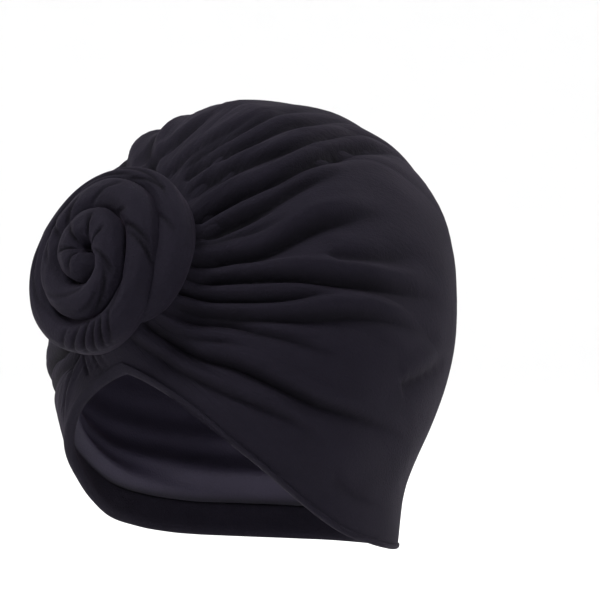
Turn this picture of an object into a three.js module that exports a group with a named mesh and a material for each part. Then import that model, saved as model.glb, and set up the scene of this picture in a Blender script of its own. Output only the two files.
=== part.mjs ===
// Turban headwrap in worn form: a knit cap whose pleats fan out of a coiled knot over the forehead,
// a satin lining inside it, and a knit band turned in along the rim. Millimetres, +Z up. The wearer
// faces -Y and +X is the wearer's left. The origin is the lining's highest point, where a head carries it.
import * as THREE from 'three';

const DEG = Math.PI / 180;

// Driving sizes
const CROWN_RISE = 187; // form centre to the top of the crown
const LINING_DROP = 23; // top of the crown down to the inside of the lining
const KNOT_TILT = 40; // degrees from straight up, forward, to the middle of the knot
const RIM_PEAK_TURN = 4; // degrees from straight ahead to the notch in the rim
const PLEAT_DEPTH = 4.2; // deepest pleat
const WALL = 2; // gathered knit
const BAND_TALL = 16;
const BAND_WALL = 1.6;
const LINING_WALL = 1.2;
const LINING_SLACK = 7; // how far the lining hangs clear of the cap
const GAP = 0.3;
const FACET = 1; // room for facets of unlike meshes to pass each other
const SEAM = 0.8; // the lining's edge over the band's
const KNOT_CLEAR = 3.7; // the coil's underside over the cap's, so that their facets pass each other
const KNOT_RADIUS = 53; // middle of the coil to the outside of its last turn
const KNOT_RISE = 33; // how far the first turn stands off the cap
const KNOT_LEAN = 22; // degrees that the coil looks up
const KNOT_SPAN = 9; // degrees from the middle of the knot to the first row of the mesh
const CROWN_ROWS = 16;
const LINING_ROWS = 8;
const RIM_COLUMNS = 72;
const ROPE_STATIONS = 80;
const ROPE_SIDES = 12;

// Outer form every 20 degrees down from the crown, as shares of CROWN_RISE from the form centre
const FORM = {
  front: [1, 0.834, 0.684, 0.567, 0.492, 0.465, 0.503, 0.642],
  side: [1, 0.93, 0.797, 0.636, 0.503, 0.433, 0.471, 0.588],
  back: [1, 1.027, 0.995, 0.802, 0.626, 0.54, 0.578, 0.695],
};

// Rim height every 20 degrees away from the notch, as shares of CROWN_RISE over the form centre
const RIM = [0.273, 0.193, 0.054, -0.075, -0.167, -0.212, -0.24, -0.254, -0.262, -0.264];

// Valleys of the pleats on each side, from the top of the knot round to its underside, then the smooth
// cloth over the rim. Each leaves the knot at an angle `at`, bends away at `bend` degrees from it towards
// `aim`, and runs out on the rim at the angle `end`, all seen round the knot. Depth is a share of
// PLEAT_DEPTH, a pleat dies out `reach` degrees away, and `steps` mesh columns lead to the next row.
const FOLDS = [
  { at: 9, bend: 20, aim: 1.5, end: 4, depth: 0.6, reach: 84, steps: 3 },
  { at: 29, bend: 23, aim: 4, end: 9, depth: 0.8, reach: 92, steps: 3 },
  { at: 45, bend: 28, aim: 6, end: 14, depth: 0.8, reach: 86, steps: 2 },
  { at: 51, bend: 32, aim: 9, end: 19, depth: 0.7, reach: 80, steps: 2 },
  { at: 57, bend: 37, aim: 12, end: 24, depth: 1, reach: 90, steps: 3 },
  { at: 71, bend: 42, aim: 17, end: 30, depth: 0.6, reach: 68, steps: 3 },
  { at: 93, bend: 50, aim: 22, end: 36, depth: 0.85, reach: 88, steps: 3 },
  { at: 102, bend: 58, aim: 32, end: 43, depth: 1, reach: 98, steps: 2 },
  { at: 108, bend: 57, aim: 36, end: 48, depth: 0.65, reach: 62, steps: 2 },
  { at: 117, bend: 57, aim: 42, end: 54, depth: 0.8, reach: 92, steps: 2 },
  { at: 122, bend: 58, aim: 52, end: 61, depth: 0.5, reach: 70, steps: 3 },
  { at: 136, bend: 58, aim: 62, end: 70, depth: 1, reach: 108, steps: 3 },
  { at: 142, bend: 45.6, aim: 85, end: 88, depth: 0.8, reach: 90, steps: 2 },
  { at: 145.5, bend: 45, aim: 97, end: 97, depth: 0, reach: 90, steps: 1 },
  { at: 149.5, bend: 40, aim: 103, end: 103, depth: 0, reach: 90, steps: 1 },
  { at: 153, bend: 37, aim: 108, end: 108, depth: 0, reach: 90, steps: 1 },
  { at: 155.5, bend: 34, aim: 111.5, end: 111.5, depth: 0, reach: 90, steps: 1 },
  { at: 158, bend: 32, aim: 115, end: 115, depth: 0, reach: 90, steps: 1 },
  { at: 160.5, bend: 31, aim: 118, end: 118, depth: 0, reach: 90, steps: 1 },
  { at: 163, bend: 30, aim: 121.5, end: 121.5, depth: 0, reach: 90, steps: 1 },
  { at: 165.5, bend: 28, aim: 126, end: 126, depth: 0, reach: 90, steps: 1 },
  { at: 168, bend: 26, aim: 132, end: 132, depth: 0, reach: 90, steps: 1 },
  { at: 171, bend: 23, aim: 141, end: 141, depth: 0, reach: 90, steps: 1 },
  { at: 174.5, bend: 19, aim: 155, end: 155, depth: 0, reach: 90, steps: 1 },
  { at: 180, bend: 14, aim: 180, end: 180, depth: 0, reach: 90, steps: 1 },
];

// Seat of the knot: height of the cap under the coil, from its middle outwards, share of KNOT_RISE
const SEAT = [0.56, 0.53, 0.44, 0.34, 0.18, -0.04, -0.3];

// The coil every quarter turn, clockwise from its top as the wearer is faced: radius and height of
// the rope's middle, and half its size across and deep, as shares of KNOT_RADIUS
const COIL = {
  start: 0.25,
  end: 3.375,
  radius: [0.07, 0.125, 0.18, 0.26, 0.24, 0.44, 0.505, 0.6, 0.5, 0.72, 0.82, 0.88, 0.76, 0.88],
  height: [0.5, 0.56, 0.57, 0.56, 0.54, 0.46, 0.42, 0.41, 0.37, 0.28, 0.23, 0.22, 0.19, 0.1],
  across: [0.06, 0.115, 0.15, 0.155, 0.135, 0.145, 0.15, 0.16, 0.125, 0.13, 0.145, 0.105, 0.135, 0.06],
  deep: [0.12, 0.17, 0.18, 0.18, 0.18, 0.18, 0.18, 0.18, 0.18, 0.18, 0.17, 0.15, 0.16, 0.09],
};
const ROPE_GROOVE = 0.1; // depth of the twist as a share of the rope

const KNOT_AIM = new THREE.Vector3(0, -Math.sin(KNOT_TILT * DEG), Math.cos(KNOT_TILT * DEG));
const KNOT_TOP = new THREE.Vector3(0, Math.cos(KNOT_TILT * DEG), Math.sin(KNOT_TILT * DEG));
const LEFT = new THREE.Vector3(1, 0, 0);
const AXIS = new THREE.Vector3(0, -Math.cos(KNOT_LEAN * DEG), Math.sin(KNOT_LEAN * DEG));
const AXIS_UP = new THREE.Vector3(0, Math.sin(KNOT_LEAN * DEG), Math.cos(KNOT_LEAN * DEG));

function smooth(x, from, to) {
  return THREE.MathUtils.smoothstep(x, from, to);
}

// Smooth curve through evenly spaced values
function sample(values, position) {
  const last = values.length - 1;
  const x = THREE.MathUtils.clamp(position, 0, last - 1e-6);
  const i = Math.floor(x);
  const t = x - i;
  const a = values[Math.max(i - 1, 0)];
  const b = values[i];
  const c = values[i + 1];
  const d = values[Math.min(i + 2, last)];
  return b + 0.5 * t * (c - a + t * (2 * a - 5 * b + 4 * c - d + t * (3 * (b - c) + d - a)));
}

// Distance from the form centre to the outside of the form
function formRadius(direction) {
  const tilt = Math.acos(THREE.MathUtils.clamp(direction.z, -1, 1)) / DEG / 20;
  const turn = Math.atan2(direction.x, -direction.y);
  const ahead = sample(Math.cos(turn) > 0 ? FORM.front : FORM.back, tilt);
  return CROWN_RISE / Math.hypot(Math.cos(turn) / ahead, Math.sin(turn) / sample(FORM.side, tilt));
}

function rimHeight(point) {
  const turn = Math.atan2(point.x, -point.y) / DEG;
  const away = Math.abs(((turn - RIM_PEAK_TURN + 540) % 360) - 180);
  return CROWN_RISE * sample(RIM, away / 20);
}

// Direction that lies an angle away from the knot and round it, both in degrees
function around(away, round) {
  const side = KNOT_TOP.clone().multiplyScalar(Math.cos(round * DEG));
  side.addScaledVector(LEFT, Math.sin(round * DEG));
  return KNOT_AIM.clone().multiplyScalar(Math.cos(away * DEG)).addScaledVector(side, Math.sin(away * DEG));
}

const KNOT_BASE = KNOT_AIM.clone().multiplyScalar(formRadius(KNOT_AIM));

// How far the cap is drawn out along the knot's axis at a distance from it; its far side isn't
function drawnOut(distance, height) {
  if (height < -KNOT_RADIUS) return 0;
  const hold = 1 - smooth(distance, 0.66 * KNOT_RADIUS, 1.02 * KNOT_RADIUS);
  const seat = KNOT_RISE * sample(SEAT, (6 * distance) / KNOT_RADIUS);
  return hold * (seat - height);
}

// Height of the form over the rim in a direction
function overRim(direction) {
  const point = direction.clone().multiplyScalar(formRadius(direction));
  return point.z - rimHeight(point);
}

// First root of a falling function between two values
function fall(from, to, step, value) {
  let x = from;
  while (x < to && value(x) > 0) x += step;
  for (let i = 0, half = step / 2; i < 14; i += 1, half /= 2) x += value(x) > 0 ? half : -half;
  return x;
}

// Flat map of the form round the knot: distance is degrees away from it
function onMap(away, round) {
  return new THREE.Vector2(away * Math.sin(round * DEG), away * Math.cos(round * DEG));
}

// Mesh column between two rows of FOLDS: its line on the map, and how far off it meets the rim
function makeColumn(row, next, share) {
  const mix = (key) => THREE.MathUtils.lerp(row[key], next[key], share);
  const edge = (round) => fall(8, 170, 1, (away) => overRim(around(away, round)));
  const rim = edge(mix('end'));
  const bend = onMap(row.bend, row.at).lerp(onMap(next.bend, next.at), share);
  const aim = onMap(edge(mix('aim')), mix('aim'));
  const end = onMap(rim, mix('end')).sub(aim);
  const line = (t) => new THREE.Vector2()
    .addScaledVector(bend, 2 * t * (1 - t))
    .addScaledVector(aim, t * t)
    .addScaledVector(end, t ** 4);
  return { row, next, share, rim, line };
}

// Direction of the place on a column that lies an angle away from the knot
function direct(column, away) {
  const t = fall(0, 1, 0.04, (x) => away - column.line(x).length());
  const spot = column.line(t);
  return around(away, Math.atan2(spot.x, spot.y) / DEG);
}

// A point a distance inside the form, drawn out with the knot in full or in part
function place(direction, inset, drawn = 1) {
  const radius = formRadius(direction);
  const fromKnot = direction.clone().multiplyScalar(radius).sub(KNOT_BASE);
  const height = fromKnot.dot(AXIS);
  const distance = fromKnot.addScaledVector(AXIS, -height).length();
  return direction
    .clone()
    .multiplyScalar(radius - inset)
    .addScaledVector(AXIS, drawn * drawnOut(distance, height))
    .sub(new THREE.Vector3(0, 0, CROWN_RISE - LINING_DROP));
}

// Mesh columns right round the knot: each pleat runs from one valley to the next
function makeColumns() {
  const mirror = (row) => ({ ...row, at: -row.at, aim: -row.aim, end: -row.end });
  const ring = [...FOLDS.slice(0, -1).map(mirror).reverse(), ...FOLDS];
  const columns = [];
  ring.slice(0, -1).forEach((row, i) => {
    const next = ring[i + 1];
    const { steps } = next.at > 0 ? row : next;
    for (let j = 0; j < steps; j += 1) columns.push(makeColumn(row, next, j / steps));
  });
  columns.push(makeColumn(ring.at(-1), ring.at(-1), 0));
  return columns;
}

// Depth of the pleats at a place on a column; they die out above the band
function pleat(column, away, direction) {
  const { share, row, next } = column;
  const sink = (fold) => fold.depth * (1 - smooth(away, fold.reach - 34, fold.reach));
  const depth = sink(row) * (1 - share) + sink(next) * share;
  const open = 1 - Math.sin(Math.PI * share) ** 0.8;
  const start = smooth(away, 9, 17) * (0.65 + 0.35 * smooth(away, 18, 40));
  const finish = smooth(overRim(direction), BAND_TALL - 4, BAND_TALL + 6);
  return PLEAT_DEPTH * depth * open * start * finish;
}

// Closed skin from a point, through rings of equal count, to a last point; with no points it is a loop
function skin(name, first, rings, last, material) {
  const count = rings[0].length;
  const points = [...(first ? [first] : []), ...rings.flat(), ...(last ? [last] : [])];
  const offset = first ? 1 : 0;
  const faces = [];
  const index = (ring, i) => offset + (ring % rings.length) * count + (i % count);
  const spans = first ? rings.length - 1 : rings.length;
  for (let ring = 0; ring < spans; ring += 1) {
    for (let i = 0; i < count; i += 1) {
      const a = index(ring, i);
      const b = index(ring, i + 1);
      const c = index(ring + 1, i + 1);
      const d = index(ring + 1, i);
      const straight = points[a].distanceTo(points[c]) < points[b].distanceTo(points[d]);
      faces.push(...(straight ? [a, c, d, a, b, c] : [a, b, d, b, c, d]));
    }
  }
  if (first) {
    const end = points.length - 1;
    for (let i = 0; i < count; i += 1) {
      faces.push(0, index(0, i + 1), index(0, i));
      faces.push(end, index(rings.length - 1, i), index(rings.length - 1, i + 1));
    }
  }
  const geometry = new THREE.BufferGeometry().setFromPoints(points);
  geometry.setIndex(faces);
  geometry.computeVertexNormals();
  const mesh = new THREE.Mesh(geometry, material);
  mesh.name = name;
  return mesh;
}

// Rows lie closer together near the knot, on the columns that run far from it
function rowAway(row, column) {
  const bias = 1 + 0.25 * smooth(column.rim, 20, 150);
  return KNOT_SPAN + (column.rim - KNOT_SPAN) * ((row - 1) / (CROWN_ROWS - 1)) ** bias;
}

// Both faces of the wall share their rows, so the wall keeps its thickness in every facet
function makeCrown(columns, material) {
  const ring = (row, inset) => columns.map((column) => {
    const away = rowAway(row, column);
    const direction = direct(column, away);
    return place(direction, inset + pleat(column, away, direction));
  });
  const rows = Array.from({ length: CROWN_ROWS }, (_, i) => i + 1);
  const lip = columns.map((column) => place(direct(column, column.rim + 0.4), WALL / 2));
  const rings = [
    ...rows.map((row) => ring(row, 0)),
    lip,
    ...rows.reverse().map((row) => ring(row, WALL)),
  ];
  return skin('crown_shell', place(KNOT_AIM, 0), rings, place(KNOT_AIM, WALL), material);
}

// Direction at a tilt from straight up and a turn from straight ahead
function aimed(tilt, turn) {
  return new THREE.Vector3(
    Math.sin(tilt * DEG) * Math.sin(turn * DEG),
    -Math.sin(tilt * DEG) * Math.cos(turn * DEG),
    Math.cos(tilt * DEG),
  );
}

// Ring inside the cap, part of the way down to a height over the rim
function innerRing(share, height, inset, drawn = 1) {
  return Array.from({ length: RIM_COLUMNS }, (_, i) => {
    const turn = RIM_PEAK_TURN - (360 * i) / RIM_COLUMNS;
    const tilt = fall(30, 150, 4, (x) => overRim(aimed(x, turn)) - height);
    return place(aimed(share * tilt, turn), inset, drawn);
  });
}

function makeBand(material) {
  const outside = WALL + GAP + FACET;
  const rows = [1, 0.5, 0];
  const rings = [
    ...rows.map((share) => innerRing(1, BAND_TALL * share, outside)),
    ...rows.reverse().map((share) => innerRing(1, BAND_TALL * share, outside + BAND_WALL)),
  ];
  return skin('hem_band', null, rings, null, material);
}

// The lining starts on the band's top edge and hangs clear of the pleats and of the knot's seat
function makeLining(material) {
  const ring = (row, inset) => {
    const climb = 1 - row / LINING_ROWS;
    const slack = LINING_SLACK * smooth(climb, 0, 0.12);
    const sunk = (LINING_DROP - LINING_SLACK - WALL - LINING_WALL) * smooth(climb, 0.25, 0.7);
    const outside = WALL + GAP + FACET + slack + sunk;
    return innerRing(row / LINING_ROWS, BAND_TALL + SEAM, outside + inset, 1 - smooth(climb, 0, 0.12));
  };
  const rows = Array.from({ length: LINING_ROWS }, (_, i) => i + 1);
  const rings = [
    ...rows.map((row) => ring(row, 0)),
    ...rows.reverse().map((row) => ring(row, LINING_WALL)),
  ];
  const top = new THREE.Vector3(0, 0, LINING_WALL);
  return skin('satin_lining', top, rings, new THREE.Vector3(), material);
}

// Height of the cap, along the knot's axis, under a place on the coil
function capUnder(side, up) {
  const probe = (height) => KNOT_BASE.clone()
    .addScaledVector(LEFT, side)
    .addScaledVector(AXIS_UP, up)
    .addScaledVector(AXIS, height);
  let height = 20;
  let step = 32;
  for (let i = 0; i < 16; i += 1) {
    const point = probe(height);
    const far = point.length();
    height += far > formRadius(point.normalize()) ? -step : step;
    step /= 2;
  }
  return height + drawnOut(Math.hypot(side, up), height);
}

function coilAt(turn) {
  const row = (turn - COIL.start) * 4;
  const part = (values) => KNOT_RADIUS * sample(values, row);
  return {
    radius: part(COIL.radius),
    height: part(COIL.height),
    across: part(COIL.across),
    deep: part(COIL.deep),
  };
}

function makeKnot(material) {
  const rings = [];
  const tips = [];
  for (let station = 0; station <= ROPE_STATIONS; station += 1) {
    const turn = THREE.MathUtils.lerp(COIL.start, COIL.end, station / ROPE_STATIONS);
    const here = coilAt(turn);
    const clock = turn * 2 * Math.PI;
    const spot = (radius, height) => new THREE.Vector3()
      .addScaledVector(LEFT, radius * Math.sin(clock))
      .addScaledVector(AXIS_UP, radius * Math.cos(clock))
      .addScaledVector(AXIS, height);
    const ring = [];
    for (let i = 0; i < ROPE_SIDES; i += 1) {
      const q = (i / ROPE_SIDES) * 2 * Math.PI;
      const twist = 1 - ROPE_GROOVE * (0.5 - 0.5 * Math.cos(3 * q + 2.6 * clock));
      const radius = here.radius + here.across * twist * Math.cos(q);
      let height = here.height + here.deep * twist * Math.sin(q);
      const side = radius * Math.sin(clock);
      const up = radius * Math.cos(clock);
      const seat = capUnder(side, up) + KNOT_CLEAR;
      const last = smooth(turn, 2, 2.8);
      const under = Math.max(0, Math.cos(q + Math.PI / 2 - 0.55 * last)) ** 2;
      height += under * Math.min(0, seat - height);
      height = Math.max(height, seat);
      ring.push(spot(radius, height).add(KNOT_BASE).sub(new THREE.Vector3(0, 0, CROWN_RISE - LINING_DROP)));
    }
    rings.push(ring);
    if (station === 0 || station === ROPE_STATIONS) {
      const tip = new THREE.Vector3();
      ring.forEach((point) => tip.addScaledVector(point, 1 / ROPE_SIDES));
      tips.push(tip);
    }
  }
  return skin('knot_coil', tips[0], rings, tips[1], material);
}

const knit = new THREE.MeshStandardMaterial({ color: 0x2b2631, roughness: 0.9, metalness: 0 });
const satin = new THREE.MeshStandardMaterial({ color: 0x2f2a38, roughness: 0.35, metalness: 0 });

const columns = makeColumns();
const headwrap = new THREE.Group();
headwrap.name = 'turban_headwrap';
headwrap.add(
  makeCrown(columns, knit),
  makeBand(knit),
  makeLining(satin),
  makeKnot(knit),
);

export default headwrap;
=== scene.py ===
"""Turban headwrap in worn form: a pleated jersey cap with a coiled knot over the forehead, a turned-in
hem band and a satin lining. Metres, +Z up; the wearer faces -Y and +X is the wearer's left."""

import math
from collections import namedtuple

import bmesh
import bpy
import numpy as np
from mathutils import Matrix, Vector, noise


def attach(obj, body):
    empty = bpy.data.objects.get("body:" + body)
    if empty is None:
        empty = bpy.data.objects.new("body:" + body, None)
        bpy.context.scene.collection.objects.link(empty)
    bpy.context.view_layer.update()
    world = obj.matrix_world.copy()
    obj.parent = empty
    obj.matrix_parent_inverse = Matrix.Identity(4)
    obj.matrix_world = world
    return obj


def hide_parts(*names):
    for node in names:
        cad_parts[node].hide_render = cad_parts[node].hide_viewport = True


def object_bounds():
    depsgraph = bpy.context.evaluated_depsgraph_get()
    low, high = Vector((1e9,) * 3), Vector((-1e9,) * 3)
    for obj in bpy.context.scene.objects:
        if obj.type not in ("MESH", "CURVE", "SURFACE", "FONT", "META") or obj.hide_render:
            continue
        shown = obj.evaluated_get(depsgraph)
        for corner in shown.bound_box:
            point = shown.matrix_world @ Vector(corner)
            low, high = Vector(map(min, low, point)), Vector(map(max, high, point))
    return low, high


bl_info = {
    "name": "Turban Headwrap",
    "version": (1, 0, 0),
    "blender": (4, 5, 0),
    "location": "View3D > Sidebar > Headwrap",
    "description": "Builds a pleated turban headwrap with a coiled knot and a satin lining",
    "category": "Object",
}

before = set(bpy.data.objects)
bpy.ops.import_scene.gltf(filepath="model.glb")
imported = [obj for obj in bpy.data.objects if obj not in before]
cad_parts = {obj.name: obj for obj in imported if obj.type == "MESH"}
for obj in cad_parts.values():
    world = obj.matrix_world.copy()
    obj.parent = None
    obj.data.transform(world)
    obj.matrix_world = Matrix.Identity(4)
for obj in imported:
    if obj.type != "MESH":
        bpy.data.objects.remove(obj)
CAD_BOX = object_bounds()

# Driving sizes, the same as the solids have
CROWN_RISE = 0.187
LINING_DROP = 0.023
KNOT_TILT = 40.0
RIM_PEAK_TURN = 4.0
WALL = 0.002
BAND_TALL = 0.016
KNOT_RADIUS = 0.053
KNOT_RISE = 0.033
KNOT_LEAN = 22.0
KNOT_SPAN = 9.0
FORM_CENTRE = np.array([0.0, 0.0, LINING_DROP - CROWN_RISE])

# Sizes of the cloth alone: the lining's slack, two walls thinner than the solids' and the form's mean
# radius, which turns degrees on the cap into metres
LINING_SLACK = 0.0075
LINING_WALL = 0.0006
BAND_WALL = 0.001
FORM_MEAN = 0.12

# Rows and columns of the meshes; the cap has a column for each share of a pleat
CAP_ROWS, CAP_INNER_ROWS = 96, 24
BAND_COLUMNS, BAND_ROWS = 360, 96
LINING_COLUMNS, LINING_ROWS = 288, 84
COIL_STEPS, COIL_SIDES = 1050, 60

# Outer form every 20 degrees down from the crown, as shares of CROWN_RISE from the form centre
FORM_FRONT = (1, 0.834, 0.684, 0.567, 0.492, 0.465, 0.503, 0.642)
FORM_SIDE = (1, 0.93, 0.797, 0.636, 0.503, 0.433, 0.471, 0.588)
FORM_BACK = (1, 1.027, 0.995, 0.802, 0.626, 0.54, 0.578, 0.695)

# Rim height every 20 degrees away from the notch, as shares of CROWN_RISE over the form centre
RIM = (0.273, 0.193, 0.054, -0.075, -0.167, -0.212, -0.24, -0.254, -0.262, -0.264)

# Height of the cap under the coil, from its middle outwards, share of KNOT_RISE
SEAT = (0.56, 0.53, 0.44, 0.34, 0.18, -0.04, -0.3)

# Valleys of the pleats on one side, from the top of the knot round to its underside; the other side
# mirrors them. Each leaves the knot at an angle round it, bends at `bend` degrees away from it towards
# `aim` and runs out on the rim at `end`. Depth is a share of the pleat depth; a pleat dies out about
# `reach` degrees away from the knot. `columns` is half the mesh columns from it to the next valley
Fold = namedtuple("Fold", "at bend aim end depth reach columns")
FOLDS = (
    Fold(9, 20, 1.5, 4, 0.6, 84, 12),
    Fold(29, 23, 4, 9, 0.8, 92, 12),
    Fold(45, 28, 6, 14, 0.8, 86, 9),
    Fold(51, 32, 9, 19, 0.7, 80, 9),
    Fold(57, 37, 12, 24, 1.0, 90, 12),
    Fold(71, 42, 17, 30, 0.6, 68, 12),
    Fold(93, 50, 22, 36, 0.85, 88, 12),
    Fold(102, 58, 32, 43, 1.0, 98, 9),
    Fold(108, 57, 36, 48, 0.65, 62, 9),
    Fold(117, 57, 42, 54, 0.8, 92, 9),
    Fold(122, 58, 52, 61, 0.5, 70, 12),
    Fold(136, 58, 62, 70, 1.0, 108, 14),
    Fold(142, 45.6, 85, 88, 0.8, 90, 10),
    Fold(145.5, 45, 97, 97, 0.1, 60, 4),
    Fold(149.5, 40, 103, 103, 0.12, 50, 4),
    Fold(153, 37, 108, 108, 0.15, 45, 4),
    Fold(155.5, 34, 111.5, 111.5, 0.2, 40, 4),
    Fold(158, 32, 115, 115, 0.2, 36, 4),
    Fold(160.5, 31, 118, 118, 0.25, 34, 4),
    Fold(163, 30, 121.5, 121.5, 0.25, 32, 4),
    Fold(165.5, 28, 126, 126, 0.3, 30, 4),
    Fold(168, 26, 132, 132, 0.35, 28, 4),
    Fold(171, 23, 141, 141, 0.4, 26, 4),
    Fold(174.5, 19, 155, 155, 0.4, 24, 4),
    Fold(180, 14, 180, 180, 0.4, 24, 4),
)

# Sharp tucks in the cap on the wearer's left, from the coil outwards: places as angles round the knot and
# away from it, then depth, and width of the steep upper and the gentle lower side, in millimetres. All but
# the first are mirrored to the right
Tuck = namedtuple("Tuck", "spots depth steep gentle")
TUCKS = (
    Tuck(((8, 22), (13, 27.5), (15.5, 31), (15.5, 37), (11, 45), (8, 54)), 1.6, 2.4, 8),
    Tuck(((11, 20), (20, 27.5), (22, 34.5), (19, 43), (14.5, 51.5), (12, 62)), 2.0, 2.6, 8),
    Tuck(((22, 18), (28.5, 25.5), (31, 32), (29.5, 39), (20.5, 51.5), (17, 57.5), (15, 70)), 2.2, 2.6, 9),
    Tuck(((44.5, 16), (42, 24), (41.5, 32), (38, 37.5), (31.5, 44.5), (26, 50.5), (20.5, 59), (17, 66),
          (16, 78)), 3.4, 2.8, 9),
    Tuck(((56, 18), (52, 27), (48, 32.5), (44, 37), (39.5, 43), (31.5, 52.5)), 2.6, 2.8, 8),
    Tuck(((59, 16), (56.5, 22.5), (53.5, 27.5), (49, 34)), 1.5, 2.4, 5),
    Tuck(((66, 16), (62, 24), (58.5, 30), (55, 35)), 1.2, 2.4, 6),
    Tuck(((77, 16), (71, 23), (67, 30.5), (59.5, 37), (55.5, 40.5), (51.5, 45.5), (47, 51), (41, 59)),
         3.0, 3.0, 12),
    Tuck(((63, 44), (59.5, 50), (51, 59.5), (42, 68)), 1.1, 4.0, 8),
    Tuck(((87, 16), (80, 24.5), (76, 31.5), (70.5, 41.5), (66.5, 48.5), (61.5, 56), (55, 64.5),
          (49.5, 71.5), (42, 81)), 2.9, 2.6, 9),
    Tuck(((96, 16), (92, 23), (87, 29), (80.5, 37), (74.5, 43.5), (70, 48.5)), 2.8, 2.8, 6),
    Tuck(((107, 17), (98, 25.5), (89, 35), (82, 43), (74, 51.5), (67.5, 59.5), (59.5, 70.5), (48.5, 84.5)),
         2.3, 2.8, 9),
    Tuck(((113, 17), (98, 28.5), (92.5, 37), (89.5, 42), (85, 50.5), (81, 56.5)), 1.6, 2.4, 6),
    Tuck(((132, 14), (126, 19), (118.5, 27), (108, 36), (101, 48), (95, 59.5), (86.5, 71.5), (77.5, 85),
          (67, 102.5)), 3.0, 2.8, 10),
    Tuck(((153, 15), (138.5, 22), (124.5, 33), (115, 43), (107, 53.5), (102, 63), (99.5, 73)), 1.5, 2.6, 9),
    Tuck(((124, 17), (115, 24), (106, 30), (100, 36)), 1.2, 2.2, 5),
    Tuck(((102, 82), (97, 97.5), (84, 117)), 0.5, 4.0, 9),
    Tuck(((70, 77), (59, 83.5), (48, 89)), 1.4, 3.5, 9),
)
# Tucks that only one side has: over the top of the coil, and the gathers under its stitched end
LONE_TUCKS = (
    Tuck(((-19, 21), (-15, 24.5), (-7, 29), (-2, 34), (1, 38)), 1.6, 2.4, 7),
    Tuck(((-4, 19), (5, 25), (11, 30), (13, 35.5), (9.5, 42.5)), 1.4, 2.2, 6),
    Tuck(((-136, 18), (-133, 26), (-126, 32)), 1.4, 2.0, 3),
    Tuck(((-138, 18), (-135, 29), (-133, 38), (-132, 50)), 1.5, 2.0, 4),
    Tuck(((-140, 18), (-147, 23), (-157, 26)), 1.6, 1.8, 3),
    Tuck(((-150, 17), (-164, 21.5), (-176, 24)), 1.4, 1.8, 3),
    Tuck(((-160, 16), (-171, 20), (-182, 24)), 1.1, 1.8, 3),
    Tuck(((-128, 18), (-122, 24), (-114, 31), (-106, 40)), 1.5, 2.0, 5),
)

# A tuck's lip as a share of its depth, the shade that each millimetre of depth brings and how far it reaches
# down the gentle side; then the height of the slow waves in the whole cap
TUCK_LIP = 0.4
TUCK_SHADE = 0.4
TUCK_SHADE_REACH = 0.003
SLOW_WAVES = 0.0011

# The coil every quarter turn, clockwise from its top as the wearer is faced and from COIL_START on, as shares
# of KNOT_RADIUS: its middle line's distance from the axis and height along it, and half the rope's width
# across and deep
COIL_START, COIL_END = 0.25, 3.42
COIL_RADIUS = (0.07, 0.125, 0.18, 0.26, 0.23, 0.44, 0.515, 0.615, 0.49, 0.72, 0.83, 0.875, 0.68, 0.58)
COIL_HEIGHT = (0.5, 0.56, 0.57, 0.56, 0.54, 0.46, 0.42, 0.41, 0.37, 0.28, 0.23, 0.22, 0.2, 0.1)
COIL_ACROSS = (0.08, 0.15, 0.17, 0.185, 0.165, 0.165, 0.165, 0.19, 0.155, 0.155, 0.15, 0.125, 0.15, 0.06)
COIL_DEEP = (0.12, 0.17, 0.18, 0.18, 0.18, 0.18, 0.18, 0.19, 0.19, 0.19, 0.18, 0.16, 0.17, 0.09)

# How far the rope stands off the cap under it, the thickness left where its seat flattens it, and the height
# of its large and small lumps
SEAT_GAP = 0.0006
SEAT_WALL = 0.0001
LUMPS, SMALL_LUMPS = 0.0008, 0.0005

# Creases on the coil, each from one place to another: turns along the rope and degrees round it from its
# outermost line, then depth and half width in millimetres. The last six gather it at the bottom
Crease = namedtuple("Crease", "turn off turn_to off_to depth width")
CREASES = (
    Crease(0.55, 30, 0.62, 140, 1.2, 2.0),
    Crease(0.72, 40, 0.74, 140, 1.4, 2.2),
    Crease(0.88, 50, 0.86, 150, 1.8, 2.6),
    Crease(1.01, 50, 1.02, 150, 1.7, 2.4),
    Crease(1.12, 60, 1.16, 145, 1.5, 2.2),
    Crease(1.25, 120, 1.33, 20, 1.6, 2.4),
    Crease(1.31, 70, 1.47, -5, 1.7, 2.4),
    Crease(1.38, 60, 1.5, 20, 1.1, 2.0),
    Crease(1.44, 130, 1.62, 60, 1.2, 2.6),
    Crease(1.7, 100, 1.86, 30, 1.3, 2.6),
    Crease(1.8, 130, 1.83, 50, 1.4, 2.4),
    Crease(1.84, 125, 1.92, 60, 1.6, 2.6),
    Crease(1.95, 125, 2.03, 40, 1.4, 2.2),
    Crease(2.06, 140, 2.1, 90, 1.0, 2.0),
    Crease(2.12, 135, 2.22, 20, 1.8, 2.4),
    Crease(2.17, 110, 2.27, -15, 1.6, 2.2),
    Crease(2.3, 130, 2.42, 80, 0.9, 3.0),
    Crease(2.62, 110, 2.8, 50, 1.1, 3.0),
    Crease(2.78, 120, 2.92, 60, 1.2, 2.6),
    Crease(2.9, 60, 3.02, 95, 1.3, 2.4),
    Crease(2.95, 45, 3.12, 60, 1.4, 2.4),
    Crease(3.0, 115, 3.1, 50, 1.5, 2.2),
    Crease(3.13, 125, 3.19, 40, 1.2, 2.2),
    Crease(3.24, 120, 3.34, 70, 0.8, 2.6),
    Crease(2.405, 100, 2.45, -20, 1.5, 2.0),
    Crease(2.43, 110, 2.465, -20, 1.9, 1.9),
    Crease(2.45, 110, 2.485, -20, 1.7, 1.8),
    Crease(2.47, 120, 2.505, -15, 2.0, 1.9),
    Crease(2.495, 110, 2.53, -10, 1.4, 1.9),
    Crease(2.53, 100, 2.55, 0, 1.0, 2.2),
)
DARK_CREASE = 0.0018  # a crease this deep has the full shade

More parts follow.
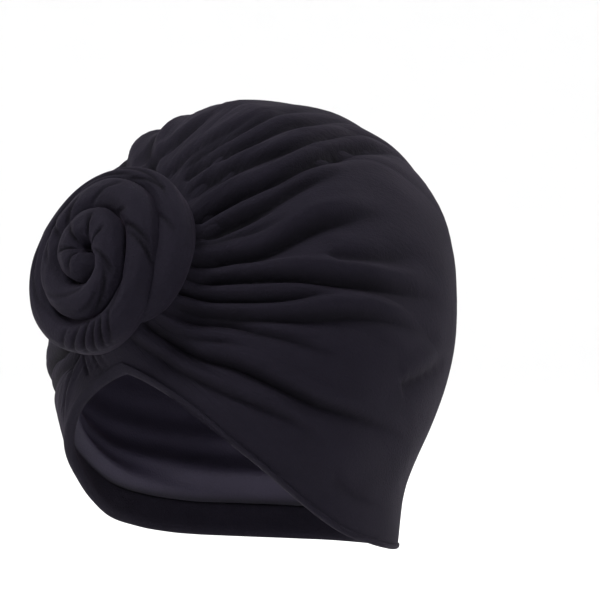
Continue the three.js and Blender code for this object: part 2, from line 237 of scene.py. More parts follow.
AXES_TILT = math.radians(KNOT_TILT)
AXES_LEAN = math.radians(KNOT_LEAN)
KNOT_AIM = np.array([0.0, -math.sin(AXES_TILT), math.cos(AXES_TILT)])
KNOT_TOP = np.array([0.0, math.cos(AXES_TILT), math.sin(AXES_TILT)])
LEFT = np.array([1.0, 0.0, 0.0])
AXIS = np.array([0.0, -math.cos(AXES_LEAN), math.sin(AXES_LEAN)])
AXIS_UP = np.array([0.0, math.sin(AXES_LEAN), math.cos(AXES_LEAN)])


def smooth(x, low, high):
    """0 below low, 1 above high and smooth between."""
    t = np.clip((np.asarray(x, float) - low) / (high - low), 0, 1)
    return t * t * (3 - 2 * t)


def curve(values, position):
    """Smooth curve through evenly spaced values."""
    v = np.asarray(values, float)
    last = len(v) - 1
    x = np.clip(position, 0, last - 1e-6)
    i = np.floor(x).astype(int)
    t = x - i
    a, b = v[np.maximum(i - 1, 0)], v[i]
    c, d = v[i + 1], v[np.minimum(i + 2, last)]
    return b + 0.5 * t * (c - a + t * (2 * a - 5 * b + 4 * c - d + t * (3 * (b - c) + d - a)))


def form_radius(direction):
    """Distance from the form centre to the outside of the form, for unit directions."""
    tilt = np.degrees(np.arccos(np.clip(direction[..., 2], -1, 1))) / 20
    turn = np.arctan2(direction[..., 0], -direction[..., 1])
    ahead = np.where(np.cos(turn) > 0, curve(FORM_FRONT, tilt), curve(FORM_BACK, tilt))
    return CROWN_RISE / np.hypot(np.cos(turn) / ahead, np.sin(turn) / curve(FORM_SIDE, tilt))


def over_rim(direction):
    """Height of the form over the rim in a direction."""
    turn = np.degrees(np.arctan2(direction[..., 0], -direction[..., 1]))
    off = np.abs((turn - RIM_PEAK_TURN + 540) % 360 - 180)
    return form_radius(direction) * direction[..., 2] - CROWN_RISE * curve(RIM, off / 20)


def around(away, turned):
    """Direction that lies an angle away from the knot and turned round it, both in degrees."""
    away, turned = np.radians(away), np.radians(turned)
    side = np.cos(turned)[..., None] * KNOT_TOP + np.sin(turned)[..., None] * LEFT
    return np.cos(away)[..., None] * KNOT_AIM + np.sin(away)[..., None] * side


def aimed(tilt, turn):
    """Direction at a tilt from straight up and a turn from straight ahead, in degrees."""
    tilt, turn = np.broadcast_arrays(np.radians(tilt), np.radians(turn))
    return np.stack([np.sin(tilt) * np.sin(turn), -np.sin(tilt) * np.cos(turn), np.cos(tilt)], -1)


KNOT_BASE = KNOT_AIM * form_radius(KNOT_AIM)


def drawn_out(distance, height):
    """How far the cap is drawn out along the knot's axis; its far side isn't."""
    hold = 1 - smooth(distance, 0.66 * KNOT_RADIUS, 1.02 * KNOT_RADIUS)
    seat = KNOT_RISE * curve(SEAT, 6 * distance / KNOT_RADIUS)
    return np.where(height < -KNOT_RADIUS, 0, hold * (seat - height))


def place(direction, inset, drawn=1.0):
    """Point an inset inside the form, drawn out with the knot in full or in part."""
    radius = form_radius(direction)[..., None]
    from_knot = direction * radius - KNOT_BASE
    height = from_knot @ AXIS
    distance = np.linalg.norm(from_knot - height[..., None] * AXIS, axis=-1)
    pull = np.asarray(drawn * drawn_out(distance, height))[..., None]
    return direction * (radius - np.asarray(inset)[..., None]) + pull * AXIS + FORM_CENTRE


def edge_away(turned):
    """How far off the rim lies at an angle round the knot."""
    steps = np.arange(8.0, 170.0, 0.5)
    height = over_rim(around(steps[None, :], np.asarray(turned, float)[:, None]))
    below = np.argmax(height <= 0, axis=1)
    rows = np.arange(len(below))
    high, low = height[rows, below - 1], height[rows, below]
    return steps[below - 1] + 0.5 * high / (high - low)


def grain(points, scale, offset=0.0):
    """Smooth noise at each point, about -1 to 1, the same on every run."""
    shift = Vector((offset, 1.7 * offset, -offset))
    return np.array([noise.noise(Vector(p) * scale + shift) for p in points])


class Pleats:
    """The lines on the cap along which its cloth is gathered, and how deep it lies on them."""

    def __init__(self, depth):
        self.depth = depth
        mirror = [f._replace(at=-f.at, aim=-f.aim, end=-f.end) for f in FOLDS]
        self.rows = mirror[::-1] + list(FOLDS)
        counts = [2 * (b.columns if b.at <= 0 else a.columns) for a, b in zip(self.rows, self.rows[1:])]
        self.span, self.share = [], []
        for i, count in enumerate(counts):
            for j in range(count):
                self.span.append(i)
                self.share.append(j / count)
        self.span, self.share = np.array(self.span), np.array(self.share)
        self.count = len(self.span)
        self.lines()

    def mix(self, key):
        first = np.array([getattr(self.rows[i], key) for i in self.span], float)
        second = np.array([getattr(self.rows[i + 1], key) for i in self.span], float)
        return first, second

    def lines(self):
        """Samples every column's line: angle away from the knot and round it."""
        def on_map(away, turned):
            return np.stack([away * np.sin(np.radians(turned)), away * np.cos(np.radians(turned))], -1)

        share = self.share[:, None]
        (at, at_next), (bend, bend_next) = self.mix("at"), self.mix("bend")
        blend = on_map(bend, at) * (1 - share) + on_map(bend_next, at_next) * share
        (aim, aim_next), (end, end_next) = self.mix("aim"), self.mix("end")
        aim = aim + (aim_next - aim) * self.share
        end = end + (end_next - end) * self.share
        self.rim = edge_away(end)
        aim_spot = on_map(edge_away(aim), aim)
        end_spot = on_map(self.rim, end)
        t = np.linspace(0, 1, 160)[None, :, None]
        spots = 2 * t * (1 - t) * blend[:, None] + t * t * aim_spot[:, None]
        spots = spots + t**4 * (end_spot - aim_spot)[:, None]
        self.far = np.maximum.accumulate(np.linalg.norm(spots, axis=-1), axis=1)
        angle = np.degrees(np.arctan2(spots[..., 0], spots[..., 1]))
        angle[:, 0] = angle[:, 1]
        self.turned = np.degrees(np.unwrap(np.radians(angle), axis=1))

    def turn_of(self, column, away):
        """Angle round the knot of the places on columns that lie angles away from it."""
        turned = np.empty(len(away))
        for i in np.unique(column):
            at = column == i
            turned[at] = np.interp(away[at], self.far[i], self.turned[i])
        return turned

    def sink(self, column, away, direction):
        """How deep the cloth lies under the pleats' crests."""
        span, share = self.span[column], self.share[column]
        rows = self.rows

        def deep(index):
            depth = np.array([rows[i].depth for i in index])
            reach = np.array([rows[i].reach for i in index])
            return depth * (1 - smooth(away, reach - 42, reach + 6))

        left_side = np.array([rows[i].at < 0 for i in span])
        from_top = np.where(left_side, 1 - share, share)
        above, below = np.where(left_side, span + 1, span), np.where(left_side, span, span + 1)
        gentle = np.clip(1 - from_top / 0.8, 0, 1) ** 1.7
        steep = np.clip(1 - (1 - from_top) / 0.5, 0, 1) ** 1.9
        valley = deep(above) * gentle + deep(below) * steep
        start = smooth(away, 8, 15) * (0.7 + 0.3 * smooth(away, 18, 40))
        finish = smooth(over_rim(direction), 0.002, 0.014)
        return self.depth * valley * start * finish


def tuck_depth(tuck, away, turned, mirror=1, shift=0.0):
    """How deep a tuck lies under places on the cap, its lip a little raised, and how shaded it is."""
    spots = np.array(tuck.spots, float)
    steps = np.linspace(0, len(spots) - 1, 8 * len(spots))
    line_turn = np.radians(curve(spots[:, 0], steps) + shift)
    line_away = curve(spots[:, 1], steps)
    line = np.stack([line_away * np.sin(line_turn) * mirror, line_away * np.cos(line_turn)], -1)
    place_turn = np.radians(turned)
    point = np.stack([away * np.sin(place_turn), away * np.cos(place_turn)], -1)
    low, high = line.min(0) - 8, line.max(0) + 8
    near = np.where(np.all((point > low) & (point < high), axis=1))[0]
    total = np.zeros((2, len(away)))
    start, reach = line[:-1], np.diff(line, axis=0)
    length = np.hypot(*reach.T)
    for chosen in np.array_split(near, max(1, len(near) // 4000)):
        gap = point[chosen, None] - start
        share = np.clip((gap * reach).sum(-1) / length**2, 0, 1)
        apart = gap - share[..., None] * reach
        far = np.hypot(apart[..., 0], apart[..., 1])
        best = far.argmin(1)
        pick = np.arange(len(chosen)), best
        cross = reach[best, 0] * gap[pick][:, 1] - reach[best, 1] * gap[pick][:, 0]
        metres = math.radians(1) * FORM_MEAN * np.sin(np.radians(away[chosen])) / np.radians(away[chosen])
        side = far[pick] * metres * np.sign(cross) * mirror
        along = (best + share[pick]) / len(reach)
        fade = smooth(along, 0, 0.06) * (1 - smooth(along, 0.55, 1.0))
        steep, gentle = 0.001 * tuck.steep, 0.001 * tuck.gentle
        above = np.clip(1 - side / steep, 0, 1) * (side >= 0)
        below = np.clip(1 + side / gentle, 0, 1) * (side < 0)
        below_shade = np.clip(1 + side / TUCK_SHADE_REACH, 0, 1) * (side < 0)
        lip = TUCK_LIP * np.exp(-(((side - 1.7 * steep) / (0.9 * steep)) ** 2))
        total[0, chosen] += 0.001 * tuck.depth * fade * (above**2 + below**2 - lip)
        total[1, chosen] += min(1, TUCK_SHADE * tuck.depth) * fade * (above + below_shade)
    return total


def all_tucks(away, turned):
    """Depth and shade of all the tucks, on both sides of the cap."""
    turned = (turned + 180) % 360 - 180
    total = sum(tuck_depth(tuck, away, turned) for tuck in TUCKS + LONE_TUCKS)
    for i, tuck in enumerate(TUCKS[1:]):
        total = total + tuck_depth(tuck, away, turned, -1, 2.5 * math.sin(2.3 * i))
    return total


def closed_grid(name, across, along, shape):
    """A grid with UVs that shape(u, v) moves into place as a closed body and shades in its folds.

    Its seam and poles are merged, and what stays open, as at a rope's ends, is filled."""
    bm = bmesh.new()
    bm.loops.layers.uv.new("UVMap")
    bmesh.ops.create_grid(bm, x_segments=across, y_segments=along, size=0.5, calc_uvs=True)
    spots = np.array([v.co[:2] for v in bm.verts]) + 0.5
    shade = bm.verts.layers.float.new("shade")
    points, dark = shape(spots[:, 0], spots[:, 1])
    for vert, point, tone in zip(bm.verts, points, dark):
        vert.co = point
        vert[shade] = tone
    bmesh.ops.remove_doubles(bm, verts=bm.verts, dist=2e-6)
    bmesh.ops.holes_fill(bm, edges=[e for e in bm.edges if e.is_boundary], sides=0)
    if bm.calc_volume(signed=True) < 0:
        bmesh.ops.reverse_faces(bm, faces=bm.faces)
    return finish_mesh(name, bm)


def both_sides(v, outer, inner):
    """For a wall of two faces: share of the way down each face, which face, and where the lip is."""
    row = np.rint(v * (outer + inner))
    share = np.where(row < outer, row / (outer - 1), (outer + inner - row) / (inner - 1))
    return np.clip(share, 0, 1), (row > outer).astype(float), row == outer


def finish_mesh(name, bm):
    """Turns a bmesh into an object of the scene, smooth all over."""
    for face in bm.faces:
        face.smooth = True
    mesh = bpy.data.meshes.new(name)
    bm.to_mesh(mesh)
    bm.free()
    obj = bpy.data.objects.new(name, mesh)
    bpy.context.scene.collection.objects.link(obj)
    return obj


def set_uv(obj, size):
    """Scales the UV map so that one unit is one metre of cloth."""
    layer = obj.data.uv_layers.active.data
    for loop in layer:
        loop.uv = (loop.uv[0] * size[0], loop.uv[1] * size[1])


def settle(obj, solid):
    """Makes a piece ride on the body and stand for a solid."""
    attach(obj, "root")
    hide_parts(solid)


def share_to_away(share, rim):
    """Angle away from the knot of a row; the rows under the coil are few."""
    under = 0.04
    bias = 1 + 0.2 * smooth(rim, 20, 150)
    out = KNOT_SPAN + (rim - KNOT_SPAN) * np.clip((share - under) / (1 - under), 0, 1) ** bias
    return np.where(share < under, KNOT_SPAN * share / under, out)


def make_cap(size):
    """The pleated cap, a wall of two faces whose columns run from the knot to the rim."""
    pleats = Pleats(size.pleat_depth)

    def shape(u, v):
        column = np.rint(u * pleats.count).astype(int) % pleats.count
        share, inner, lip = both_sides(v, CAP_ROWS, CAP_INNER_ROWS)
        away = share_to_away(share, pleats.rim[column]) + 0.35 * lip
        turned = pleats.turn_of(column, away)
        direction = around(away, turned)
        inset = pleats.sink(column, away, direction)
        calm = smooth(over_rim(direction), 0.001, 0.014)
        start = smooth(away, 9, 14)
        tucked, shade = all_tucks(away, turned)
        inset = inset + size.tuck * calm * start * tucked
        near = 1 - smooth(away, 28, 70)
        along = np.stack([pleats.span[column] + pleats.share[column], away / 16.0, u * 0], -1)
        wrinkle = grain(along * np.array([2.2, 1.0, 1.0]), 1.0, 3.0) * (0.35 + 0.65 * near)
        fine = grain(along * np.array([5.5, 1.6, 1.0]), 1.0, 9.0) * near
        slow = grain(direction * form_radius(direction)[:, None], 28.0, 5.0)
        inset = inset + calm * (size.wrinkle * start * (wrinkle + 0.5 * fine) + SLOW_WAVES * slow)
        return place(direction, inset + WALL * np.where(lip, 0.5, inner)), np.clip(shade, 0, 1)

    cap = closed_grid("pleated_cap", pleats.count, CAP_ROWS + CAP_INNER_ROWS, shape)
    settle(cap, "crown_shell")
    set_uv(cap, size=(0.62, 0.3))
    return cap


def rim_tilt(turn, height):
    """Tilt at which the form lies a height over the rim, at each turn."""
    steps = np.arange(30.0, 150.0, 0.5)
    over = over_rim(aimed(steps[None, :], turn[:, None])) - height[:, None]
    below = np.argmax(over <= 0, axis=1)
    rows = np.arange(len(below))
    high, low = over[rows, below - 1], over[rows, below]
    return steps[below - 1] + 0.5 * high / (high - low)


# The band from its top edge down the inside of the cap, under the rim and a little way up the outside:
# height over the rim as a share of BAND_TALL, and how far inside the cap's face in millimetres
BAND_PATH = (
    (1.0, 4.4), (0.86, 4.5), (0.7, 4.4), (0.55, 4.4), (0.4, 4.4), (0.25, 4.4), (0.14, 4.3),
    (0.05, 3.9), (-0.02, 3.0), (-0.05, 1.9), (-0.03, 0.7), (0.03, -0.2), (0.09, -0.5), (0.15, -0.4),
)
BAND_EDGE = 0.3  # thickness of the band's edges as a share of its wall


def band_outline():
    """Closed outline round the band's path: heights over the rim and insets, in metres."""
    path = np.array(BAND_PATH) * np.array([BAND_TALL, 0.001])
    step = np.linspace(0, len(path) - 1, BAND_ROWS // 2)
    line = np.stack([curve(path[:, 0], step), curve(path[:, 1], step)], -1)
    ahead = np.gradient(line, axis=0)
    ahead /= np.linalg.norm(ahead, axis=1)[:, None]
    side = np.stack([-ahead[:, 1], ahead[:, 0]], -1) * BAND_WALL / 2
    side[0] *= BAND_EDGE
    side[-1] *= BAND_EDGE
    return np.concatenate([line + side, (line - side)[::-1]])


def make_band():
    """The band, its outline carried round the rim, with painted shade darkening it towards its top edge."""
    outline = band_outline()

    def shape(u, v):
        turn = RIM_PEAK_TURN - 360 * u
        row = np.rint(v * len(outline)).astype(int) % len(outline)
        height, inset = outline[row].T
        circle = np.stack([np.cos(np.radians(turn)), np.sin(np.radians(turn)), height * 20], -1)
        direction = aimed(rim_tilt(turn, height), turn)
        points = place(direction, inset + 0.0003 * grain(circle, 5.0, 2.0))
        # The second value is painted shade, darkest at the band's top edge
        return points, smooth(height / BAND_TALL, 0.86, 1.0)

    band = closed_grid("hem_band_cloth", BAND_COLUMNS, BAND_ROWS, shape)
    settle(band, "hem_band")
    set_uv(band, size=(0.6, 0.05))
    return band


def make_lining(size):
    """The satin lining, a slack dome with painted shade towards its edge behind the band."""

    def shape(u, v):
        turn = RIM_PEAK_TURN - 360 * u
        share, inner, lip = both_sides(v, LINING_ROWS, LINING_ROWS)
        climb = 1 - share
        start = rim_tilt(turn, np.full(len(turn), BAND_TALL - 0.001))
        direction = aimed(start * (1 - climb) + 0.1 * lip, turn)
        slack = LINING_SLACK * smooth(climb, 0, 0.1)
        sunk = (LINING_DROP - LINING_SLACK - WALL - 0.002) * smooth(climb, 0.25, 0.7)
        low = (1 - smooth(climb, 0.1, 0.55)) * smooth(climb, 0.0, 0.03)
        circle = np.stack([np.cos(np.radians(turn)), np.sin(np.radians(turn))], -1)
        wave = 2 * math.pi * (climb * 9.5 + 0.35 * np.sin(np.radians(turn * 2 + 40)))
        swag = np.sin(wave + 1.6 * grain(np.column_stack([circle, climb * 4]), 1.0, 4.0))
        soft = grain(np.column_stack([circle * 4, climb * 7]), 1.0, 8.0) * (1 - smooth(climb, 0.8, 1))
        inset = WALL + 0.0016 + slack + sunk + LINING_WALL * np.where(lip, 0.5, inner)
        inset = inset + size.sag * (low * (0.6 * swag + 0.5) + 0.45 * soft * smooth(climb, 0.02, 0.15))
        # The second value is painted shade, darkest at the lining's edge behind the band
        return place(direction, inset, 1 - smooth(climb, 0, 0.12)), 1 - smooth(climb, 0.006, 0.035)

    lining = closed_grid("satin_lining_cloth", LINING_COLUMNS, 2 * LINING_ROWS, shape)
    settle(lining, "satin_lining")
    set_uv(lining, size=(0.6, 0.48))
    return lining


def cap_under(side, up):
    """Height of the cap, along the knot's axis, under places on the coil."""
    height = np.full(len(side), 0.02)
    step = 0.032
    base = KNOT_BASE + side[:, None] * LEFT + up[:, None] * AXIS_UP
    for _ in range(16):
        point = base + height[:, None] * AXIS
        far = np.linalg.norm(point, axis=1)
        height = height + np.where(far > form_radius(point / far[:, None]), -step, step)
        step /= 2
    return height + drawn_out(np.hypot(side, up), height)


def coil_part(values, turn):
    """A measure of the coil, in metres, at places along its turns."""
    return KNOT_RADIUS * curve(values, (turn - COIL_START) * 4)


def crease_depth(turn, off):
    """How deep the creases run at places on the coil; off is in degrees round the rope."""
    total = np.zeros(len(turn))
    for line in CREASES:
        middle = (line.turn + line.turn_to) / 2
        per_turn = 2 * math.pi * coil_part(COIL_RADIUS, middle)
        per_degree = math.radians(coil_part(COIL_DEEP, middle))
        along, across = (turn - line.turn) * per_turn, (off - line.off) * per_degree
        reach = ((line.turn_to - line.turn) * per_turn, (line.off_to - line.off) * per_degree)
        share = np.clip((along * reach[0] + across * reach[1]) / (reach[0] ** 2 + reach[1] ** 2), 0, 1)
        gap = np.hypot(along - share * reach[0], across - share * reach[1]) / (0.001 * line.width)
        fade = 1 - np.abs(2 * share - 1) ** 3
        total += 0.001 * line.depth * fade * np.clip(1 - gap, 0, 1) ** 1.5
    return total


def make_coil(size):
    """The coil: a creased rope wound over the cap, its underside pressed flat on it."""

    def shape(u, v):
        turn = COIL_START + (COIL_END - COIL_START) * u
        clock = turn * 2 * math.pi
        q = 2 * math.pi * v
        off = (np.degrees(q) + 90) % 360 - 90
        tips = np.sqrt(np.clip(np.minimum(u / 0.01, (1 - u) / 0.03), 0, 1))
        rope = np.stack([turn * 3.0, np.cos(q), np.sin(q)], -1)
        lump = LUMPS * grain(rope, 1.3, 2.0) + SMALL_LUMPS * grain(rope * np.array([3.0, 2, 2]), 1.6, 6.0)
        crease = crease_depth(turn, off)
        thin = lump - size.crease * crease
        radius = coil_part(COIL_RADIUS, turn) + (coil_part(COIL_ACROSS, turn) + thin) * np.cos(q) * tips
        height = coil_part(COIL_HEIGHT, turn) + (coil_part(COIL_DEEP, turn) + thin) * np.sin(q) * tips
        side, up = radius * np.sin(clock), radius * np.cos(clock)
        seat = cap_under(side, up) + SEAT_GAP
        under = np.maximum(0, np.cos(q + math.pi / 2)) ** 5
        height = height + under * np.minimum(0, seat - height)
        height = np.maximum(height, seat + SEAT_WALL * (1 + np.sin(q)))
        points = KNOT_BASE + side[:, None] * LEFT + up[:, None] * AXIS_UP + height[:, None] * AXIS
        return points + FORM_CENTRE, np.clip(crease / DARK_CREASE, 0, 1)

    coil = closed_grid("knot_roll", COIL_STEPS, COIL_SIDES, shape)
    settle(coil, "knot_coil")
    set_uv(coil, size=(0.62, 0.06))
    return coil


def node(tree, kind, **values):
    """Adds a shader node and sets it up."""
    made = tree.nodes.new(kind)
    for key, value in values.items():
        setattr(made, key, value)
    return made


def jersey_group():
    """Fine cloth: rows of stitches a little drawn out along it, fuzz over them, slow changes of tone."""
    group = bpy.data.node_groups.new("Jersey Cloth", "ShaderNodeTree")
    face = group.interface
    for name in ("Scale", "Fuzz", "Blotch"):
        face.new_socket(name, in_out="INPUT", socket_type="NodeSocketFloat")
    face.new_socket("Height", in_out="OUTPUT", socket_type="NodeSocketFloat")
    face.new_socket("Tone", in_out="OUTPUT", socket_type="NodeSocketFloat")
    enter, leave = node(group, "NodeGroupInput"), node(group, "NodeGroupOutput")
    coords = node(group, "ShaderNodeTexCoord")
    stretch = node(group, "ShaderNodeMapping")
    stretch.inputs["Scale"].default_value = (1.0, 0.45, 1.0)
    stitches = node(group, "ShaderNodeTexNoise")
    stitches.inputs["Detail"].default_value = 2.0
    fuzz = node(group, "ShaderNodeTexNoise")
    fuzz.inputs["Detail"].default_value = 3.0
    fuzz.inputs["Scale"].default_value = 1100.0
    slow = node(group, "ShaderNodeTexNoise")
    slow.inputs["Detail"].default_value = 4.0
    add = node(group, "ShaderNodeMath", operation="MULTIPLY_ADD")
    speck = node(group, "ShaderNodeMath", operation="MULTIPLY_ADD")
    speck.inputs[1].default_value = 0.6
    link = group.links.new
    link(coords.outputs["UV"], stretch.inputs["Vector"])
    link(stretch.outputs[0], stitches.inputs["Vector"])
    link(enter.outputs["Scale"], stitches.inputs["Scale"])
    link(coords.outputs["Object"], fuzz.inputs["Vector"])
    link(coords.outputs["Object"], slow.inputs["Vector"])
    link(enter.outputs["Blotch"], slow.inputs["Scale"])
    link(fuzz.outputs[0], add.inputs[0])
    link(enter.outputs["Fuzz"], add.inputs[1])
    link(stitches.outputs[0], add.inputs[2])
    link(add.outputs[0], leave.inputs["Height"])
    link(stitches.outputs[0], speck.inputs[0])
    link(slow.outputs[0], speck.inputs[2])
    link(speck.outputs[0], leave.inputs["Tone"])
    return group


# How a cloth looks: its colour in the panel, how many times lighter its light patches are, roughness, gloss,
# weight of the sheen, strength of the bump, stitches' scale and the share of fuzz over them
Cloth = namedtuple("Cloth", "colour lighter rough gloss sheen bump stitches fuzz")
CLOTHS = {
    "Brushed Jersey": Cloth("knit", 1.35, 0.8, 0.04, 0.03, 0.9, 900.0, 1.2),
    "Lining Satin": Cloth("satin", 1.4, 0.55, 0.07, 0.04, 0.6, 700.0, 1.0),
}
SHEEN_ROUGH = 0.35
BUMP_DISTANCE = 0.0003
PATCH_SCALE = 60.0
# How much of its own colour a cloth keeps in the full shade of a fold, and how far the shade takes it there
FOLD_TONE = 0.1
FOLD_SHADE = 0.8


def cloth_material(name):
    """A cloth whose tone wanders between two colours and takes painted shade in its folds, with sheen and a
    fine bump.
    """
    found = bpy.data.materials.get(name)
    if found:
        return found
    cloth = CLOTHS[name]
    colours = bpy.context.scene.headwrap_colours
    dark = tuple(getattr(colours, cloth.colour))
    light = tuple(cloth.lighter * c for c in dark)
    group = bpy.data.node_groups.get("Jersey Cloth") or jersey_group()
    material = bpy.data.materials.new(name)
    material.use_nodes = True
    tree = material.node_tree
    shader = next(n for n in tree.nodes if n.type == "BSDF_PRINCIPLED")
    weave = node(tree, "ShaderNodeGroup", node_tree=group)
    weave.inputs["Scale"].default_value = cloth.stitches
    weave.inputs["Fuzz"].default_value = cloth.fuzz
    weave.inputs["Blotch"].default_value = PATCH_SCALE
    ramp = node(tree, "ShaderNodeMix", data_type="RGBA")
    ramp.inputs[6].default_value = (*dark, 1)
    ramp.inputs[7].default_value = (*light, 1)
    bumped = node(tree, "ShaderNodeBump")
    bumped.inputs["Strength"].default_value = cloth.bump
    bumped.inputs["Distance"].default_value = BUMP_DISTANCE
    # The shade attribute paints shade into the base colour in folds, creases and under the seams
    shade = node(tree, "ShaderNodeAttribute", attribute_name="shade")
    part = node(tree, "ShaderNodeMath", operation="MULTIPLY")
    part.inputs[1].default_value = FOLD_SHADE
    fold = node(tree, "ShaderNodeMix", data_type="RGBA")
    fold.inputs[7].default_value = (*(FOLD_TONE * c for c in dark), 1)
    tree.links.new(shade.outputs["Fac"], part.inputs[0])
    tree.links.new(part.outputs[0], fold.inputs[0])
    tree.links.new(weave.outputs["Tone"], ramp.inputs[0])
    tree.links.new(ramp.outputs[2], fold.inputs[6])
    tree.links.new(fold.outputs[2], shader.inputs["Base Color"])
    tree.links.new(weave.outputs["Height"], bumped.inputs["Height"])
    tree.links.new(bumped.outputs[0], shader.inputs["Normal"])
    shader.inputs["Roughness"].default_value = cloth.rough
    shader.inputs["Specular IOR Level"].default_value = cloth.gloss
    shader.inputs["Sheen Weight"].default_value = cloth.sheen
    shader.inputs["Sheen Roughness"].default_value = SHEEN_ROUGH
    shader.inputs["Sheen Tint"].default_value = (*colours.sheen, 1)
    return material


class HEADWRAP_PG_sizes(bpy.types.PropertyGroup):
    pleat_depth: bpy.props.FloatProperty(
        name="Pleat depth", description="Depth of the deepest pleat", default=0.001, unit="LENGTH"
    )
    tuck: bpy.props.FloatProperty(
        name="Tucks", description="Depth of the sharp tucks as a share", default=2.1
    )
    wrinkle: bpy.props.FloatProperty(
        name="Wrinkles", description="Height of the small creases", default=0.0004, unit="LENGTH"
    )
    sag: bpy.props.FloatProperty(
        name="Lining sag", description="Depth of the lining's folds", default=0.0022, unit="LENGTH"
    )
    crease: bpy.props.FloatProperty(
        name="Coil creases", description="Depth of the coil's creases as a share", default=1.0
    )


class HEADWRAP_PG_colours(bpy.types.PropertyGroup):
    knit: bpy.props.FloatVectorProperty(
        name="Jersey", description="Colour of the jersey", subtype="COLOR", default=(0.0046, 0.0039, 0.0066)
    )
    satin: bpy.props.FloatVectorProperty(
        name="Satin", description="Colour of the lining", subtype="COLOR", default=(0.0165, 0.0142, 0.0235)
    )
    sheen: bpy.props.FloatVectorProperty(
        name="Sheen", description="Tint of the sheen on cloth", subtype="COLOR", default=(0.55, 0.42, 0.62)
    )
    floor: bpy.props.FloatVectorProperty(
        name="Floor", description="Colour of the floor", subtype="COLOR", default=(0.9, 0.9, 0.9)
    )


def dress(obj, material):
    """Gives an object its one material."""
    obj.data.materials.clear()
    obj.data.materials.append(material)


class HEADWRAP_OT_cap(bpy.types.Operator):
    """Builds the pleated cap."""

    bl_idname = "headwrap.cap"
    bl_label = "Build Cap"

    def execute(self, context):
        cap = make_cap(context.scene.headwrap_sizes)
        dress(cap, cloth_material("Brushed Jersey"))
        return {"FINISHED"}


class HEADWRAP_OT_band(bpy.types.Operator):
    """Builds the band that is turned in along the rim."""

    bl_idname = "headwrap.band"
    bl_label = "Build Hem Band"

    def execute(self, context):
        band = make_band()
        dress(band, cloth_material("Brushed Jersey"))
        return {"FINISHED"}


class HEADWRAP_OT_lining(bpy.types.Operator):
    """Builds the satin lining."""

    bl_idname = "headwrap.lining"
    bl_label = "Build Lining"

    def execute(self, context):
        lining = make_lining(context.scene.headwrap_sizes)
        dress(lining, cloth_material("Lining Satin"))
        return {"FINISHED"}


class HEADWRAP_OT_coil(bpy.types.Operator):
    """Builds the coiled knot."""

    bl_idname = "headwrap.coil"
    bl_label = "Build Knot"

    def execute(self, context):
        coil = make_coil(context.scene.headwrap_sizes)
        dress(coil, cloth_material("Brushed Jersey"))
        return {"FINISHED"}


# The camera, in degrees round the wearer and up, and how far right of and over the form centre it aims
CAMERA_AZIMUTH = 40.0
CAMERA_ELEVATION = 2.0
CAMERA_DISTANCE = 1.8
AIM_RIGHT = 0.0328
AIM_UP = 0.0832
LENS = 207.7

# A round floor under the cap that curves up into a wall, all metres, and the even light over it
FLOOR_DROP = 0.12
FLOOR_REACH = 3.5
FLOOR_BEND = 2
WALL_TOP = 4.5
WORLD_LIGHT = 1.02

# Disk lights, all aimed at the middle of the cap: place, width, watts and colour
LIGHT_AIM = Vector((0, 0, -0.1))
Light = namedtuple("Light", "name place width power colour")
LIGHTS = (
    Light("Key", (-0.3, -1.2, 1.8), 0.8, 62, (1, 1, 1)),
    Light("Fill", (1.8, -0.6, 0.6), 1.2, 8, (1, 1, 1)),
    Light("Side", (-1.55, -1.0, 0.2), 0.9, 12, (1, 1, 1)),
    Light("Back", (0.8, 1.6, 1.3), 0.8, 26, (0.95, 0.93, 1.0)),
)


def make_floor():
    """The floor, a profile spun round the upright axis."""
    low = CAD_BOX[0][2] - FLOOR_DROP
    bm = bmesh.new()
    profile = [(0.001, 0), (FLOOR_REACH, 0)]
    bend = [math.radians(90 * i / 12) for i in range(1, 13)]
    profile += [(FLOOR_REACH + FLOOR_BEND * math.sin(t), FLOOR_BEND - FLOOR_BEND * math.cos(t)) for t in bend]
    profile.append((FLOOR_REACH + FLOOR_BEND, WALL_TOP))
    verts = [bm.verts.new((x, 0, low + z)) for x, z in profile]
    edges = [bm.edges.new(pair) for pair in zip(verts, verts[1:])]
    bmesh.ops.spin(
        bm, geom=verts + edges, cent=(0, 0, 0), axis=(0, 0, 1), steps=96, angle=2 * math.pi,
        use_merge=True,
    )
    bmesh.ops.recalc_face_normals(bm, faces=bm.faces)
    return finish_mesh("studio_floor", bm)


def paper_material(colour):
    """Matt studio paper."""
    paper = bpy.data.materials.new("Studio Paper")
    paper.use_nodes = True
    shader = next(n for n in paper.node_tree.nodes if n.type == "BSDF_PRINCIPLED")
    shader.inputs["Base Color"].default_value = (*colour, 1)
    shader.inputs["Roughness"].default_value = 0.8
    return paper


def add_lights(scene):
    """The even light of the studio and its four lamps."""
    world = bpy.data.worlds.new("Studio")
    world.use_nodes = True
    world.node_tree.nodes["Background"].inputs[0].default_value = (1, 1, 1, 1)
    world.node_tree.nodes["Background"].inputs[1].default_value = WORLD_LIGHT
    scene.world = world
    for lamp in LIGHTS:
        data = bpy.data.lights.new(lamp.name, "AREA")
        data.shape = "DISK"
        data.size = lamp.width
        data.energy = lamp.power
        data.color = lamp.colour
        light = bpy.data.objects.new(lamp.name, data)
        scene.collection.objects.link(light)
        light.location = lamp.place
        light.rotation_mode = "QUATERNION"
        light.rotation_quaternion = (LIGHT_AIM - Vector(lamp.place)).to_track_quat("-Z", "Y")


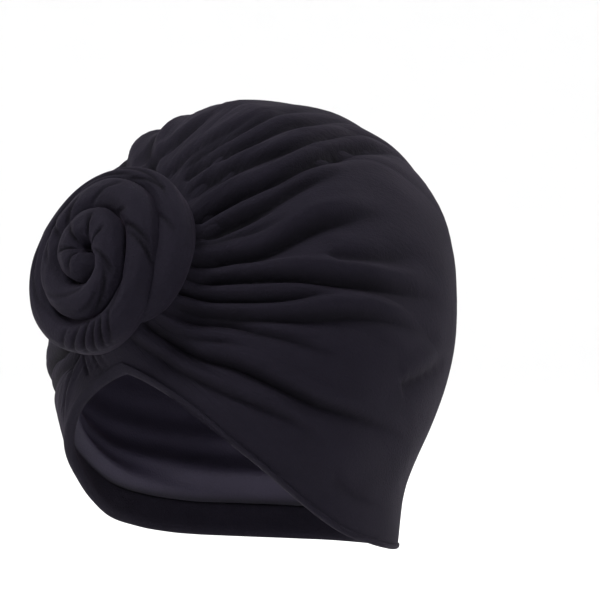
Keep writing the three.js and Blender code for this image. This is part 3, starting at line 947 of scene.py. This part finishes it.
def add_camera(scene):
    """The camera, where the photograph was taken from."""
    azimuth, elevation = math.radians(CAMERA_AZIMUTH), math.radians(CAMERA_ELEVATION)
    back = Vector((
        math.sin(azimuth) * math.cos(elevation),
        -math.cos(azimuth) * math.cos(elevation),
        math.sin(elevation),
    ))
    right = Vector((math.cos(azimuth), math.sin(azimuth), 0))
    up = back.cross(right)
    data = bpy.data.cameras.new("Camera")
    data.sensor_width = 36.0
    data.lens = LENS
    camera = bpy.data.objects.new("Camera", data)
    scene.collection.objects.link(camera)
    aim = Vector(FORM_CENTRE) + right * AIM_RIGHT + up * AIM_UP
    camera.location = aim + back * CAMERA_DISTANCE
    camera.rotation_mode = "QUATERNION"
    camera.rotation_quaternion = (-back).to_track_quat("-Z", "Y")
    data.clip_start, data.clip_end = 0.05, 100.0
    scene.camera = camera


class HEADWRAP_OT_stage(bpy.types.Operator):
    """Builds the floor, the lights and the camera."""

    bl_idname = "headwrap.stage"
    bl_label = "Build Stage"

    def execute(self, context):
        scene = context.scene
        floor = make_floor()
        dress(floor, paper_material(scene.headwrap_colours.floor))
        add_lights(scene)
        add_camera(scene)
        scene.view_settings.view_transform = "Standard"
        return {"FINISHED"}


class HEADWRAP_PT_panel(bpy.types.Panel):
    bl_label = "Turban Headwrap"
    bl_space_type = "VIEW_3D"
    bl_region_type = "UI"
    bl_category = "Headwrap"

    def draw(self, context):
        layout = self.layout
        for group in (context.scene.headwrap_sizes, context.scene.headwrap_colours):
            for key in group.bl_rna.properties.keys():
                if key not in ("rna_type", "name"):
                    layout.prop(group, key)
        for step in STEPS:
            layout.operator(step.bl_idname)


STEPS = (HEADWRAP_OT_stage, HEADWRAP_OT_cap, HEADWRAP_OT_band, HEADWRAP_OT_lining, HEADWRAP_OT_coil)
CLASSES = (HEADWRAP_PG_sizes, HEADWRAP_PG_colours, *STEPS, HEADWRAP_PT_panel)


def register():
    for cls in CLASSES:
        bpy.utils.register_class(cls)
    bpy.types.Scene.headwrap_sizes = bpy.props.PointerProperty(type=HEADWRAP_PG_sizes)
    bpy.types.Scene.headwrap_colours = bpy.props.PointerProperty(type=HEADWRAP_PG_colours)


def unregister():
    del bpy.types.Scene.headwrap_sizes
    del bpy.types.Scene.headwrap_colours
    for cls in reversed(CLASSES):
        bpy.utils.unregister_class(cls)


def main():
    register()
    bpy.ops.headwrap.stage()
    bpy.ops.headwrap.cap()
    bpy.ops.headwrap.band()
    bpy.ops.headwrap.lining()
    bpy.ops.headwrap.coil()


if __name__ == "__main__":
    main()
